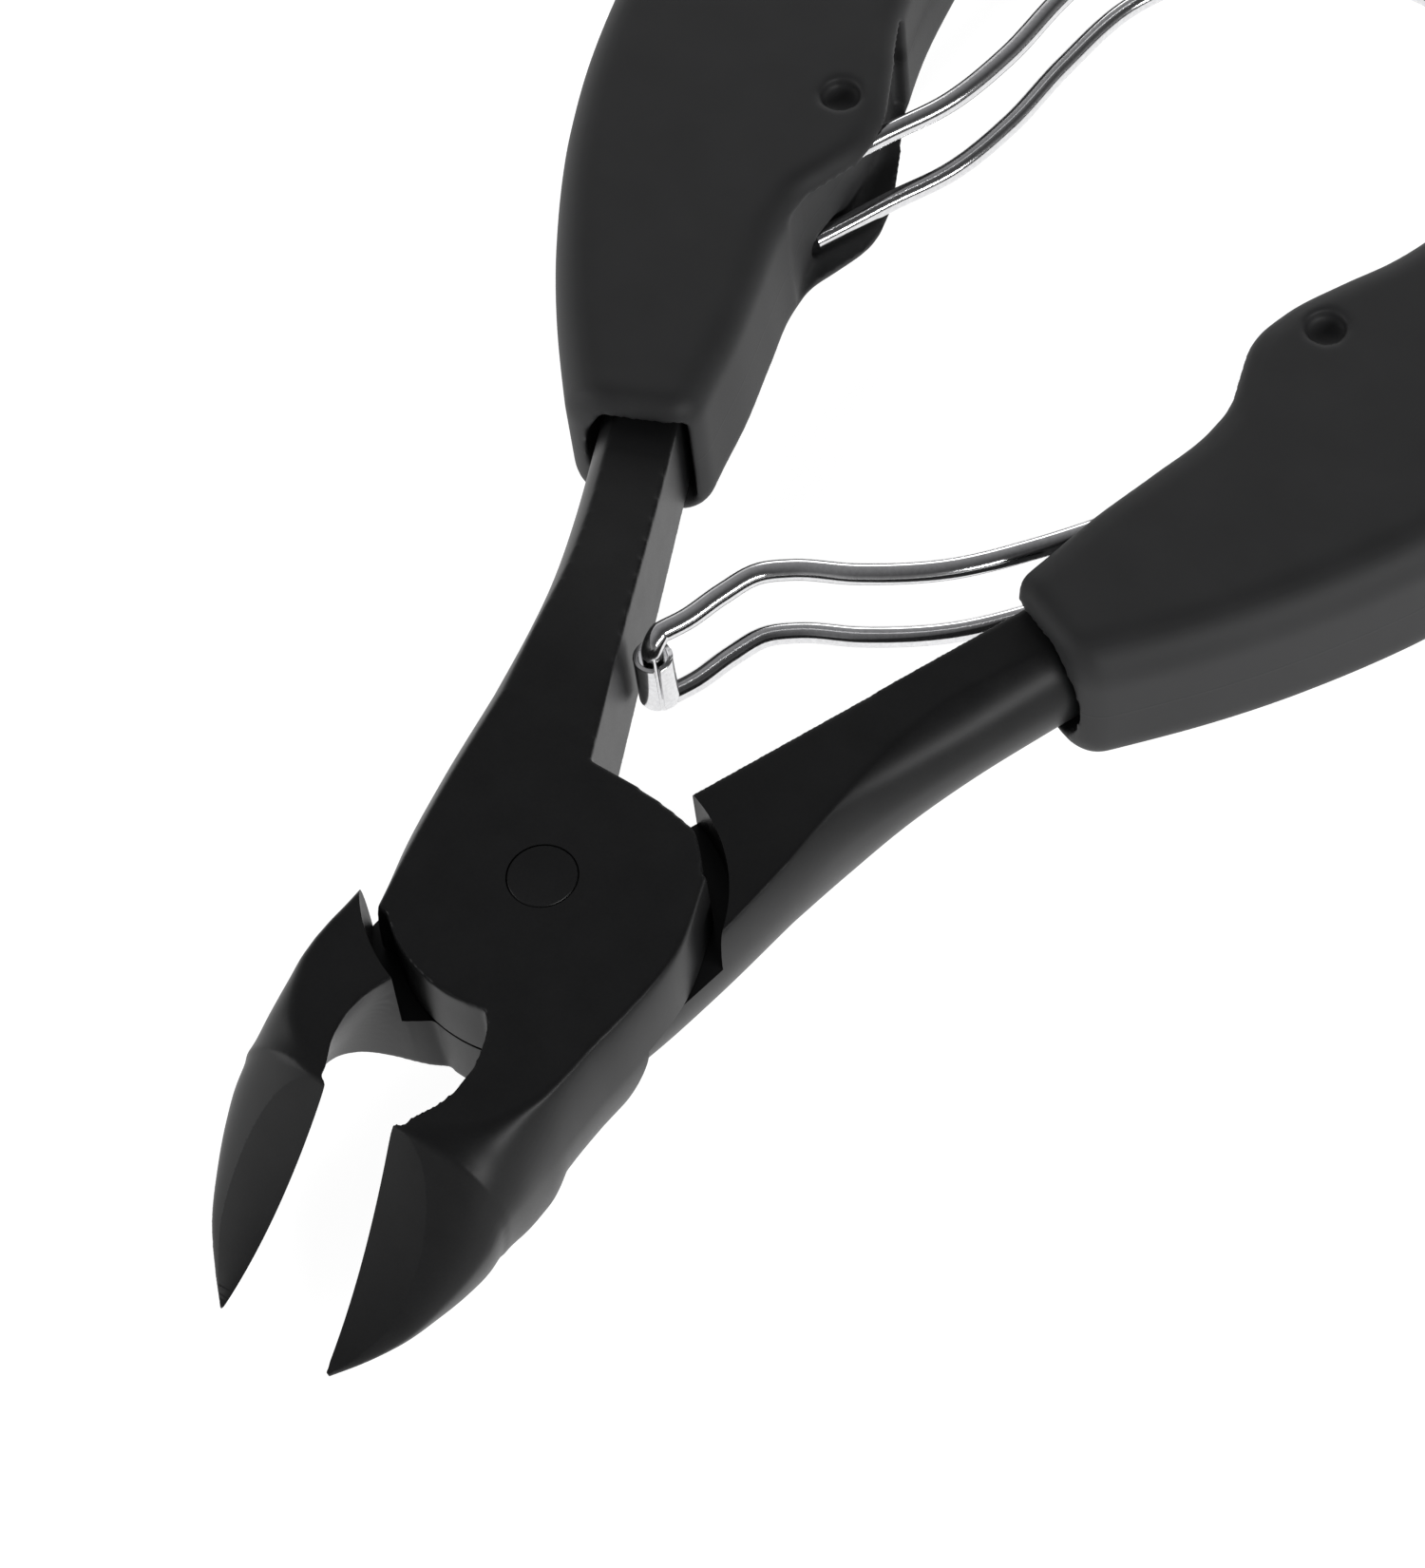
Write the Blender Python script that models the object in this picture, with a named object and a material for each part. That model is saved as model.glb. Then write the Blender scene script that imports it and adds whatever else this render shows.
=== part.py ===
"""Cuticle nipper, open at rest, in metres.

+X is to the right, +Y runs from the joint to the handles and +Z is the front.
The origin is on the pivot's axis, at the joint's flat back.
Each lever crosses the joint as a half-thick plate: the left lever's is in front.
Outlines are drawn for the right lever's side, with the nipper open, and mirrored for the left.
"""

import math

import bmesh
import bpy
import numpy as np
from mathutils import Matrix, Vector

MM = 0.001

# Head and joint
HEAD_THICKNESS = 12.6 * MM
PLATE_RADIUS = 10.9 * MM
WEB_HEIGHT = 9.4 * MM  # pivot to the plates' edge between the shanks
WEB_FALL = 18.0  # how fast that edge falls away to the far side, per metre
SHOULDER_GAP = 1.7 * MM  # from a plate's round edge to the other lever's shoulder
LAP_GAP = 0.3 * MM  # between the two plates
RIVET_RADIUS = 1.9 * MM
RIVET_HEAD_RADIUS = 2.5 * MM
RIVET_HEAD_DEPTH = 1.2 * MM
RIVET_CLEARANCE = 0.05 * MM

# Jaws
HALF_OPEN = math.radians(7.25)  # each cutting edge from the middle, at rest
JAW_REACH = 33.8 * MM  # pivot to tips
HEEL_REACH = 20.8 * MM  # pivot to the near end of the cutting edges
EDGE_GAP = 0.3 * MM  # between the edges when the nipper is shut
JAW_RELIEF = 0.40  # lean of the inner walls behind the edges
TIP_DROP = 1.5 * MM  # tips behind the head's back

# Shanks and the tangs inside the grips
SHANK_LEAN = math.radians(24.0)  # inner face from +Y
SHANK_START = (3.4 * MM, 11.0 * MM)
SHANK_LENGTH = 30.0 * MM
SHOULDER_HALF = 3.8 * MM  # height of the shoulder's face over the lap
MOUTH_HALF = 4.1 * MM  # half thickness where the shank enters its grip
BULGE = math.radians(60)  # half sweep of the rounded outer side
TANG_STEP = 2.2 * MM
TANG_WIDTH = 5.0 * MM
TANG_HALF = 2.6 * MM
TANG_LENGTH = 19.0 * MM

# Grips
GRIP_THICKNESS = 13.5 * MM
GRIP_LENGTH = 94.0 * MM  # nose to end
GRIP_INNER_ROUNDING = 3.0 * MM
GRIP_OUTER_ROUNDING = 3.4 * MM
NOSE_REACH = 3.4 * MM  # from the middle of the mouth
NOSE_ROUNDING = 1.8 * MM
END_ROUNDING = 4.0 * MM
GRIP_FIT = 0.3 * MM
MOUTH_RECESS = 0.8 * MM
LOCATING_HOLE_RADIUS = 1.5 * MM
LOCATING_HOLE_DEPTH = 1.0 * MM

# Spring
WIRE_RADIUS = 0.8 * MM
STRAND_SPACING = 8.0 * MM  # between the two strands' centres
CROSSBAR_BEND = 1.2 * MM
ROLLER_RADIUS = 1.45 * MM
ROLLER_WALL = 0.55 * MM
ROLLER_LENGTH = 5.0 * MM
ROLLER_REACH = 9.7 * MM  # along the shank from the shoulder
ROLLER_GAP = 0.3 * MM
WIRE_GAP = 0.4 * MM  # round the hooked ends in their holes
CHANNEL_GAP = 0.7 * MM  # beside the strands in the grips' channels
ARM_SWING = math.radians(12.6)  # of the arm about its bearing when the nipper shuts
HOOK_DEPTH = 2.6 * MM

CIRCLE = 48
CUT_CLEARANCE = 2.0 * MM  # that cutters stand out of what they cut

PARTS = "cuticle_nipper"
CUTTERS = "cutters"


# ---------------------------------------------------------------- scene and helpers


def clear_scene():
    for obj in list(bpy.data.objects):
        bpy.data.objects.remove(obj, do_unlink=True)


def collection(name):
    made = bpy.data.collections.new(name)
    bpy.context.scene.collection.children.link(made)
    return made


def material(name, color, roughness, metallic):
    made = bpy.data.materials.new(name)
    made.use_nodes = True
    shader = made.node_tree.nodes["Principled BSDF"]
    shader.inputs["Base Color"].default_value = (*color, 1.0)
    shader.inputs["Roughness"].default_value = roughness
    shader.inputs["Metallic"].default_value = metallic
    return made


def finish_mesh(bm, name):
    """The bmesh as a mesh with its faces pointing out."""
    bmesh.ops.remove_doubles(bm, verts=bm.verts, dist=1e-7)
    bmesh.ops.recalc_face_normals(bm, faces=bm.faces)
    mesh = bpy.data.meshes.new(name)
    bm.to_mesh(mesh)
    bm.free()
    return mesh


def add_part(name, mesh, finish, parent):
    part = bpy.data.objects.new(name, mesh)
    bpy.data.collections[PARTS].objects.link(part)
    part.parent = parent
    mesh.materials.append(finish)
    mesh.shade_smooth()
    mesh.set_sharp_from_angle(angle=math.radians(35))
    return part


def add_cutter(name, mesh, parent=None):
    cutter = bpy.data.objects.new(name, mesh)
    bpy.data.collections[CUTTERS].objects.link(cutter)
    cutter.parent = parent
    cutter.hide_render = True
    cutter.display_type = "WIRE"
    return cutter


def boolean(part, operation, *others):
    for other in others:
        modifier = part.modifiers.new(f"{operation.lower()}_{other.name}", "BOOLEAN")
        modifier.operation = operation
        modifier.solver = "EXACT"
        modifier.object = other


def smooth_at(places, values, at):
    """The value at a place on a smooth curve through the given ones."""
    slopes = np.gradient(values, places)
    left = int(np.clip(np.searchsorted(places, at) - 1, 0, len(places) - 2))
    step = places[left + 1] - places[left]
    t = (at - places[left]) / step
    rise = values[left + 1] - values[left]
    start = step * slopes[left] - rise
    end = rise - step * slopes[left + 1]
    return values[left] + t * rise + t * (1 - t) * ((1 - t) * start + t * end)


def smooth_route(points, spacing):
    """Evenly spaced points on a smooth curve through a route's own points."""
    points = np.array(points, float)
    runs = np.linalg.norm(np.diff(points, axis=0), axis=1)
    lengths = np.concatenate([[0.0], np.cumsum(runs)])
    count = max(2, round(lengths[-1] / spacing) + 1)
    return [
        tuple(smooth_at(lengths, points[:, axis], at) for axis in range(points.shape[1]))
        for at in np.linspace(0.0, lengths[-1], count)
    ]


def loft(name, sections):
    """A closed body through sections with the same number of points."""
    bm = bmesh.new()
    rings = [[bm.verts.new(point) for point in section] for section in sections]
    count = len(rings[0])
    for near, far in zip(rings, rings[1:]):
        for i in range(count):
            j = (i + 1) % count
            bm.faces.new((near[i], near[j], far[j], far[i]))
    bmesh.ops.triangulate(bm, faces=bm.faces)
    bm.faces.new(rings[0])
    bm.faces.new(rings[-1])
    return finish_mesh(bm, name)


def cylinder(name, radius, low, high, centre=(0.0, 0.0), sides=CIRCLE):
    bm = bmesh.new()
    place = Matrix.Translation((centre[0], centre[1], (low + high) / 2))
    bmesh.ops.create_cone(
        bm, cap_ends=True, segments=sides, radius1=radius, radius2=radius, depth=high - low, matrix=place
    )
    return finish_mesh(bm, name)


def turned(name, profile):
    """A body of revolution about Z, from (radius, height) points that run top to bottom."""
    bm = bmesh.new()
    line = [bm.verts.new((radius, 0.0, height)) for radius, height in profile]
    edges = [bm.edges.new(pair) for pair in zip(line, line[1:])]
    bmesh.ops.spin(
        bm, geom=line + edges, cent=(0, 0, 0), axis=(0, 0, 1), angle=2 * math.pi, steps=CIRCLE, use_merge=True
    )
    return finish_mesh(bm, name)


def mesh_of_curve(name, data):
    """A curve's filled mesh, with its caps welded on."""
    guide = bpy.data.objects.new(name, data)
    bpy.context.scene.collection.objects.link(guide)
    graph = bpy.context.evaluated_depsgraph_get()
    mesh = bpy.data.meshes.new_from_object(guide.evaluated_get(graph))
    bpy.data.objects.remove(guide, do_unlink=True)
    bm = bmesh.new()
    bm.from_mesh(mesh)
    bpy.data.meshes.remove(mesh)
    return finish_mesh(bm, name)


def slab(name, outline, half, smooth=False):
    """A flat outline in X and Y with a thickness of twice half, centred on Z = 0."""
    data = bpy.data.curves.new(name, "CURVE")
    data.dimensions = "2D"
    data.fill_mode = "BOTH"
    data.extrude = half
    data.resolution_u = 4
    spline = data.splines.new("BEZIER" if smooth else "POLY")
    points = spline.bezier_points if smooth else spline.points
    points.add(len(outline) - 1)
    for point, (x, y) in zip(points, outline):
        if smooth:
            point.co = (x, y, 0.0)
            point.handle_left_type = "AUTO"
            point.handle_right_type = "AUTO"
        else:
            point.co = (x, y, 0.0, 1.0)
    spline.use_cyclic_u = True
    return mesh_of_curve(name, data)


def wire(name, route, radius):
    data = bpy.data.curves.new(name, "CURVE")
    data.dimensions = "3D"
    data.bevel_depth = radius
    data.bevel_resolution = 2
    data.use_fill_caps = True
    spline = data.splines.new("POLY")
    spline.points.add(len(route) - 1)
    for point, place in zip(spline.points, route):
        point.co = (*place, 1.0)
    return mesh_of_curve(name, data)


# ---------------------------------------------------------------- shanks and tangs


def shank_inner(y):
    """X of the shank's flat inner face."""
    return SHANK_START[0] + (y - SHANK_START[1]) * math.tan(SHANK_LEAN)


def mouth_y():
    return SHANK_START[1] + SHANK_LENGTH * math.cos(SHANK_LEAN)


# Place along the shank, from 0 at the shoulder to 1 at the grip's mouth:
# the plate side's share of its taper, then the shoulder side's corner, the plate side's corner and
# the widest part, each as a width in millimetres from the inner face.
SHANK_STATIONS = (
    (0.00, 0.00, 9.2, 7.9, 9.9),
    (0.22, 0.08, 6.7, 6.7, 8.2),
    (0.42, 0.32, 4.8, 5.6, 7.5),
    (0.60, 0.58, 3.8, 5.2, 7.2),
    (0.80, 0.82, 3.9, 5.2, 7.1),
    (1.00, 1.00, 4.1, 5.2, 7.1),
    (1.20, 1.00, 4.1, 5.2, 7.1),
)
SHANK_END = 1.15  # place along the shank where it steps in to its tang

# Place along Y in millimetres through the head, then shoulder side's corner, plate side's corner
# and widest part, each in millimetres outside the plate's round edge.
HEAD_SIDE_STATIONS = (
    (-8.0, -2.3, -2.75, -2.1),
    (-3.0, -0.3, -1.75, -0.1),
    (3.0, 0.9, -0.7, 1.2),
)


def shank_section(y, widths, halves, mirror, level, grow=0.0, inner=None):
    """One section across the shank: widths and halves are for the shoulder's side, then the plate's."""
    shoulder, plate, widest = widths
    inner = shank_inner(y) if inner is None else inner
    high, low = (half + grow for half in halves)
    points = [(inner - grow, -low), (inner - grow, high)]
    for step in range(9):
        angle = BULGE * (1 - step / 4)
        corner, half = (shoulder, high) if step <= 4 else (plate, low)
        share = (math.cos(angle) - math.cos(BULGE)) / (1 - math.cos(BULGE))
        points.append((corner + (widest - corner) * share + grow, half * math.sin(angle) / math.sin(BULGE)))
    return [(mirror * x, y, level * z) for x, z in points]


def shank_sections(mirror, level, start=-1.0, grow=0.0, end=SHANK_END):
    """Sections from inside the head to the mouth. start and end are places along the shank."""
    head_half = HEAD_THICKNESS / 2
    sections = []
    if start < 0:
        for y, *offsets in HEAD_SIDE_STATIONS:
            widths = [PLATE_RADIUS + offset * MM for offset in offsets]
            halves = (SHOULDER_HALF, head_half)
            sections.append(shank_section(y * MM, widths, halves, mirror, level, inner=-0.7 * MM))
    places, tapers, *columns = np.array(SHANK_STATIONS).T
    for place in np.linspace(max(start, 0.0), end, 17):
        y = SHANK_START[1] + place * (mouth_y() - SHANK_START[1])
        taper = min(smooth_at(places, tapers, place), 1.0)
        low = head_half + (MOUTH_HALF - head_half) * taper
        high = SHOULDER_HALF + (MOUTH_HALF - SHOULDER_HALF) * min(place, 1.0)
        widths = [shank_inner(y) + smooth_at(places, column, place) * MM for column in columns]
        sections.append(shank_section(y, widths, (high, low), mirror, level, grow))
    return sections


def tang_sections(mirror, level, grow=0.0):
    """The narrower stretch that the grip is moulded round."""
    begin = SHANK_START[1] + SHANK_END * (mouth_y() - SHANK_START[1]) + 2 * GRIP_FIT
    sections = []
    for y in (begin, begin + TANG_LENGTH + grow):
        inner = shank_inner(y) + TANG_STEP
        outer = inner + TANG_WIDTH
        widths = (outer - 0.8 * MM, outer - 0.8 * MM, outer)
        sections.append(shank_section(y, widths, (TANG_HALF, TANG_HALF), mirror, level, grow, inner))
    return sections


# ---------------------------------------------------------------- jaws


def edge_x(y):
    """X of the cutting edge, on the jaw's side, at a distance below the pivot."""
    return EDGE_GAP / 2 / math.cos(HALF_OPEN) - y * math.tan(HALF_OPEN)


def facet_height(y):
    """Height of the ground facet, from the head's middle: steep at the heel, flatter at the tip."""
    head_half = HEAD_THICKNESS / 2
    share = (-HEEL_REACH - y) / (JAW_REACH - HEEL_REACH)
    drop = HEAD_THICKNESS + TIP_DROP - 0.4 * MM
    return head_half - drop * (1.5 * share - 0.5 * share * share)


# Below the pivot in millimetres: inner wall at the front and at the back, front ridge and widest
# part as X on the jaw's side, and the roundness of the side between the last two.
JAW_ROOT_STATIONS = (
    (6.0, -1.5, -1.5, 8.4, 8.6, 4.0),
    (0.0, -1.5, -1.5, 9.5, 9.8, 3.0),
    (-6.0, -1.5, -1.5, 9.8, 10.5, 2.5),
    (-9.4, 1.0, 0.6, 10.0, 10.8, 2.2),
    (-10.4, 2.7, 1.6, 10.1, 10.9, 2.2),
    (-11.45, 3.72, 3.45, 10.1, 10.95, 2.2),
    (-12.1, 4.05, 5.6, 10.1, 11.0, 2.2),
    (-12.7, 4.25, 7.2, 10.1, 11.0, 2.2),
    (-13.8, 4.6, 8.8, 10.0, 11.05, 2.2),
    (-15.0, 4.8, 9.5, 9.7, 11.05, 2.1),
    (-16.6, 4.75, 9.5, 9.0, 11.0, 2.0),
    (-18.1, 4.4, 9.2, 7.6, 10.95, 1.8),
    (-19.3, 3.8, 8.7, 5.8, 10.85, 1.7),
)

# Share of the cutting edge from heel to tip: widest part in millimetres from the edge,
# height of the forged crest above the facet in millimetres, and roundness of the side.
HORN_STATIONS = (
    (0.00, 7.85, 0.00, 1.70),
    (0.10, 7.55, 0.25, 1.80),
    (0.25, 6.85, 0.60, 2.00),
    (0.45, 5.70, 0.85, 2.00),
    (0.68, 3.95, 0.80, 2.00),
    (0.86, 1.95, 0.40, 2.00),
    (1.00, 0.20, 0.10, 2.00),
)
BACK_TUCK = 1.8 * MM  # that a jaw's side turns in from its widest part to its back
SIDE_STEPS = 7


def jaw_section(y, wall, side, heights, roundness, mirror):
    """wall holds X at the front and back of the inner face. side holds X at the ridge and the widest part."""
    inner_front, inner_back = wall
    ridge, widest = side
    top, waist, bottom = heights
    tucked = max(widest - BACK_TUCK, inner_back + 0.35 * (widest - inner_back))
    points = [(inner_back, bottom), (inner_front, top)]
    for step in range(SIDE_STEPS + 1):
        angle = math.pi / 2 * (1 - step / SIDE_STEPS)
        x = ridge + (widest - ridge) * math.cos(angle) ** (2 / roundness)
        points.append((x, waist + (top - waist) * math.sin(angle) ** (2 / roundness)))
    for step in range(1, SIDE_STEPS + 1):
        angle = math.pi / 2 * step / SIDE_STEPS
        x = tucked + (widest - tucked) * math.cos(angle) ** 1.3
        points.append((x, waist - (waist - bottom) * math.sin(angle) ** 1.3))
    return [(-mirror * x, y, z) for x, z in points]


def back_height(y):
    """Height of the jaw's back, from the head's middle."""
    share = min(max((y + PLATE_RADIUS) / (PLATE_RADIUS - JAW_REACH), 0.0), 1.0)
    return -HEAD_THICKNESS / 2 - TIP_DROP * share * share * (3 - 2 * share)


def jaw_sections(mirror):
    top = HEAD_THICKNESS / 2
    root = HEEL_REACH / (20.8 * MM)
    sections = []
    for y, inner, inner_back, ridge, widest, roundness in JAW_ROOT_STATIONS:
        y = y * MM * (root if y < -PLATE_RADIUS / MM else 1.0)
        side = (ridge * MM, widest * MM)
        heights = (top, 0.0, back_height(y))
        sections.append(jaw_section(y, (inner * MM, inner_back * MM), side, heights, roundness, mirror))
    places, spans, crests, rounds = np.array(HORN_STATIONS).T
    for place in (0.0, 0.05, 0.1, 0.18, 0.27, 0.36, 0.45, 0.54, 0.63, 0.72, 0.8, 0.87, 0.93, 1.0):
        y = -HEEL_REACH - place * (JAW_REACH - HEEL_REACH)
        facet = facet_height(y)
        bottom = back_height(y)
        crest = max(facet + smooth_at(places, crests, place) * MM, bottom + 0.2 * MM)
        front = edge_x(y) - JAW_RELIEF * (crest - facet)
        back = edge_x(y) + JAW_RELIEF * (facet - bottom)
        widest = max(edge_x(y) + smooth_at(places, spans, place) * MM, back + 0.1 * MM)
        side = (front + 0.08 * MM, widest)
        heights = (crest, (crest + bottom) / 2, bottom)
        roundness = smooth_at(places, rounds, place)
        sections.append(jaw_section(y, (front, back), side, heights, roundness, mirror))
    return sections


def facet_cutter():
    """What the grinding wheel takes away, for both jaws."""
    high = HEAD_THICKNESS / 2 + CUT_CLEARANCE
    reach = JAW_REACH - HEEL_REACH
    ground = [-HEEL_REACH - share * reach for share in np.linspace(-0.03, 1.1, 15)]
    outline = [(y, facet_height(y)) for y in ground]
    outline += [(ground[-1], high), (ground[0], high)]
    mesh = slab("facet_cutter", outline, JAW_REACH / 2)
    mesh.transform(Matrix(((0, 0, 1, 0), (1, 0, 0, 0), (0, 1, 0, 0), (0, 0, 0, 1))))
    return add_cutter("facet_cutter", mesh)


# ---------------------------------------------------------------- levers and rivet


def rivet_profile(grow):
    """(radius, height) from the front face to the back, with both heads sunk in the plates."""
    top = HEAD_THICKNESS / 2
    neck = top - RIVET_HEAD_DEPTH
    end = CUT_CLEARANCE if grow else 0.0
    outside = [(RIVET_HEAD_RADIUS + grow, top + end), (RIVET_HEAD_RADIUS + grow, top)]
    half = [(0.0, top + end), *outside[: 2 if grow else 1], (RIVET_RADIUS + grow, neck)]
    return half + [(radius, -height) for radius, height in reversed(half)]


def plate_outline(mirror):
    """A disc with its sides drawn in to the lever's outer side and to the web between the shanks."""
    places = np.array([y for y, *_ in HEAD_SIDE_STATIONS]) * MM
    corners = PLATE_RADIUS + np.array([corner for _, _, corner, _ in HEAD_SIDE_STATIONS]) * MM
    points = []
    for step in range(2 * CIRCLE):
        angle = math.pi * step / CIRCLE
        x, y = PLATE_RADIUS * math.cos(angle), PLATE_RADIUS * math.sin(angle)
        if x > 0:
            inset = 0.4 * MM
            x = min(x, float(np.interp(y, places, corners)) - inset if y < places[-1] else x - inset)
        web = WEB_HEIGHT - WEB_FALL * min(x, 0.0) ** 2
        points.append((mirror * x, min(y, web)))
    return points


def lever(name, mirror, level, finish, parent, facet):
    """mirror is -1 for the left lever. level is the sign of Z on the shoulder's side of the lap."""
    body = loft(name, shank_sections(mirror, level) + tang_sections(mirror, level))
    part = add_part(name, body, finish, parent)
    jaw = add_cutter(f"{name}_jaw", loft(f"{name}_jaw", jaw_sections(mirror)))
    half = HEAD_THICKNESS / 2
    low, high = sorted((-level * half, level * LAP_GAP))
    disc = slab(f"{name}_plate", plate_outline(mirror), (high - low) / 2)
    disc.transform(Matrix.Translation((0.0, 0.0, (high + low) / 2)))
    plate = add_cutter(f"{name}_plate", disc)
    low, high = sorted((level * (half + CUT_CLEARANCE), -level * LAP_GAP / 2))
    shoulder = PLATE_RADIUS + SHOULDER_GAP
    lap = add_cutter(f"{name}_lap", cylinder(f"{name}_lap", shoulder, low, high, sides=2 * CIRCLE))
    hole = add_cutter(f"{name}_hole", turned(f"{name}_hole", rivet_profile(RIVET_CLEARANCE)))
    for cutter in (jaw, plate, lap, hole):
        cutter.parent = parent
    boolean(part, "UNION", jaw, plate)
    boolean(part, "DIFFERENCE", lap, hole, facet)
    return part


# ---------------------------------------------------------------- spring


def along_shank(distance, off):
    """A point beside the shank's inner face: distance from the shoulder, off the face towards the middle."""
    x = SHANK_START[0] + distance * math.sin(SHANK_LEAN) - off * math.cos(SHANK_LEAN)
    y = SHANK_START[1] + distance * math.cos(SHANK_LEAN) + off * math.sin(SHANK_LEAN)
    return x, y


def roller_centre():
    x, y = along_shank(ROLLER_REACH, ROLLER_RADIUS + ROLLER_GAP)
    return -x, y


# The arm from the crossbar to its bearing in the right grip, as (X, Y) in millimetres. The bend
# after the crossbar and the one near the middle are what keeps the wire clear of the joint.
ARM_ROUTE = (
    (-4.9, 23.5),
    (-3.9, 26.8),
    (-2.7, 29.6),
    (-0.9, 31.1),
    (3.2, 33.2),
    (8.7, 37.1),
    (12.9, 41.8),
    (17.1, 47.7),
    (18.8, 50.7),
)
# The bow from the arm's bearing, up the right grip, over and down to the hook in the left grip.
BOW_ROUTE = (
    (19.0, 51.1),
    (20.5, 54.4),
    (22.3, 59.8),
    (23.8, 67.0),
    (24.4, 75.0),
    (24.6, 84.0),
    (23.6, 93.0),
    (18.9, 101.3),
    (10.9, 106.1),
    (1.6, 106.3),
    (-6.9, 102.0),
    (-12.1, 94.2),
    (-13.4, 86.0),
    (-13.8, 79.0),
    (-15.1, 72.8),
    (-17.6, 67.6),
    (-19.2, 64.0),
)
HOOK_DIRECTION = Vector((-0.42, -0.91, 0.0)).normalized()


def arm_wire():
    """Up the back strand's place, across, and back along the front strand."""
    half = STRAND_SPACING / 2
    x, y = roller_centre()
    flat = [(px * MM, py * MM) for px, py in ARM_ROUTE]
    strand = smooth_route([(x, y + CROSSBAR_BEND), *flat], 1.7 * MM)
    bend = []
    for step in range(5):
        angle = math.pi / 2 * step / 4
        drop = CROSSBAR_BEND * (1 - math.sin(angle))
        bend.append((x, y + drop, half - CROSSBAR_BEND * (1 - math.cos(angle))))
    front = [(px, py, half) for px, py in reversed(strand[1:])] + bend
    return front + [(px, py, -pz) for px, py, pz in reversed(front)]


def bow_wire(side):
    route = smooth_route([(x * MM, y * MM) for x, y in BOW_ROUTE], 2.2 * MM)
    z = side * STRAND_SPACING / 2
    points = [Vector((x, y, z)) for x, y in route]
    points.append(points[-1] + HOOK_DIRECTION * HOOK_DEPTH)
    return [tuple(point) for point in points]


def roller_sleeve():
    """A short sleeve on the crossbar, drawn about its own axis."""
    top = ROLLER_LENGTH / 2
    inner = ROLLER_RADIUS - ROLLER_WALL
    ring = [(ROLLER_RADIUS, top), (ROLLER_RADIUS, -top), (inner, -top), (inner, top), (ROLLER_RADIUS, top)]
    return turned("spring_roller", ring)


# ---------------------------------------------------------------- grips

# The grip's spine, as (X, Y) in millimetres from the middle of the mouth.
GRIP_SPINE = (
    (0.0, 0.0),
    (5.6, 12.0),
    (10.8, 26.0),
    (14.6, 41.0),
    (17.2, 56.0),
    (18.4, 71.0),
    (18.6, 86.6),
)
# Distance along the spine in millimetres, and how far the finger side and the palm side stand from it.
GRIP_SIDES = (
    (-3.4, 4.7, 5.0),
    (0.0, 5.4, 6.0),
    (4.5, 6.5, 7.2),
    (10.3, 7.4, 8.5),
    (16.0, 8.2, 9.6),
    (19.0, 9.3, 10.1),
    (21.0, 10.8, 10.4),
    (23.6, 12.5, 10.7),
    (27.7, 13.1, 11.1),
    (33.2, 12.3, 11.4),
    (37.3, 11.3, 11.5),
    (42.0, 10.7, 11.5),
    (52.0, 10.3, 11.3),
    (66.0, 9.9, 10.8),
    (78.0, 9.2, 10.0),
    (86.5, 7.6, 8.3),
)
GRIP_NEAR = 42.0  # the part that keeps its place when the grip's length changes


def mouth_centre():
    y = mouth_y()
    return shank_inner(y) + 3.6 * MM, y


def grip_reach(distance):
    """A tabled distance along the spine in metres, stretched in the far part to the grip's length."""
    full = GRIP_SIDES[-1][0]
    stretch = (GRIP_LENGTH - NOSE_REACH - GRIP_NEAR * MM) / ((full - GRIP_NEAR) * MM)
    near = min(distance, GRIP_NEAR)
    return (near + (distance - near) * stretch) * MM


def spine_frame(reach):
    """Point and direction of the spine at a distance from the mouth's middle."""
    points = np.array([(x * MM, grip_reach(y)) for x, y in GRIP_SPINE])
    runs = np.linalg.norm(np.diff(points, axis=0), axis=1)
    places = np.concatenate([[0.0], np.cumsum(runs)])
    step = 0.5 * MM
    near, far = (
        Vector([smooth_at(places, points[:, axis], at) for axis in range(2)]) for at in (reach - step, reach + step)
    )
    return (near + far) / 2, (far - near).normalized()


def corner_arc(x, z, radius, start, steps):
    """Points a quarter turn round a corner of the grip's section."""
    turns = [start - math.pi / 2 * step / steps for step in range(steps + 1)]
    return [(x + radius * math.cos(turn), z + radius * math.sin(turn)) for turn in turns]


def grip_section(reach, inner, outer, inset, mirror):
    """A rectangle with rounded corners square to the spine."""
    (x0, y0), along = spine_frame(reach)
    half = GRIP_THICKNESS / 2 - inset
    inner, outer = inner - inset, outer - inset
    tight = max(GRIP_INNER_ROUNDING - inset, 0.5 * MM)
    wide = max(GRIP_OUTER_ROUNDING - inset, 1.0 * MM)
    points = corner_arc(-inner + tight, half - tight, tight, math.pi, 3)
    points += corner_arc(outer - wide, half - wide, wide, math.pi / 2, 5)
    points += corner_arc(outer - wide, wide - half, wide, 0.0, 5)
    points += corner_arc(-inner + tight, tight - half, tight, -math.pi / 2, 3)
    x0, y0 = x0 + mouth_centre()[0], y0 + mouth_centre()[1]
    return [(mirror * (x0 + along.y * off), y0 - along.x * off, z) for off, z in points]


def rounded_end(radius):
    """(distance from the end, inset) pairs of a rounded edge."""
    turns = [math.pi / 2 * step / 4 for step in range(5)]
    return [(radius * (1 - math.cos(turn)), radius * (1 - math.sin(turn))) for turn in turns]


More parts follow.
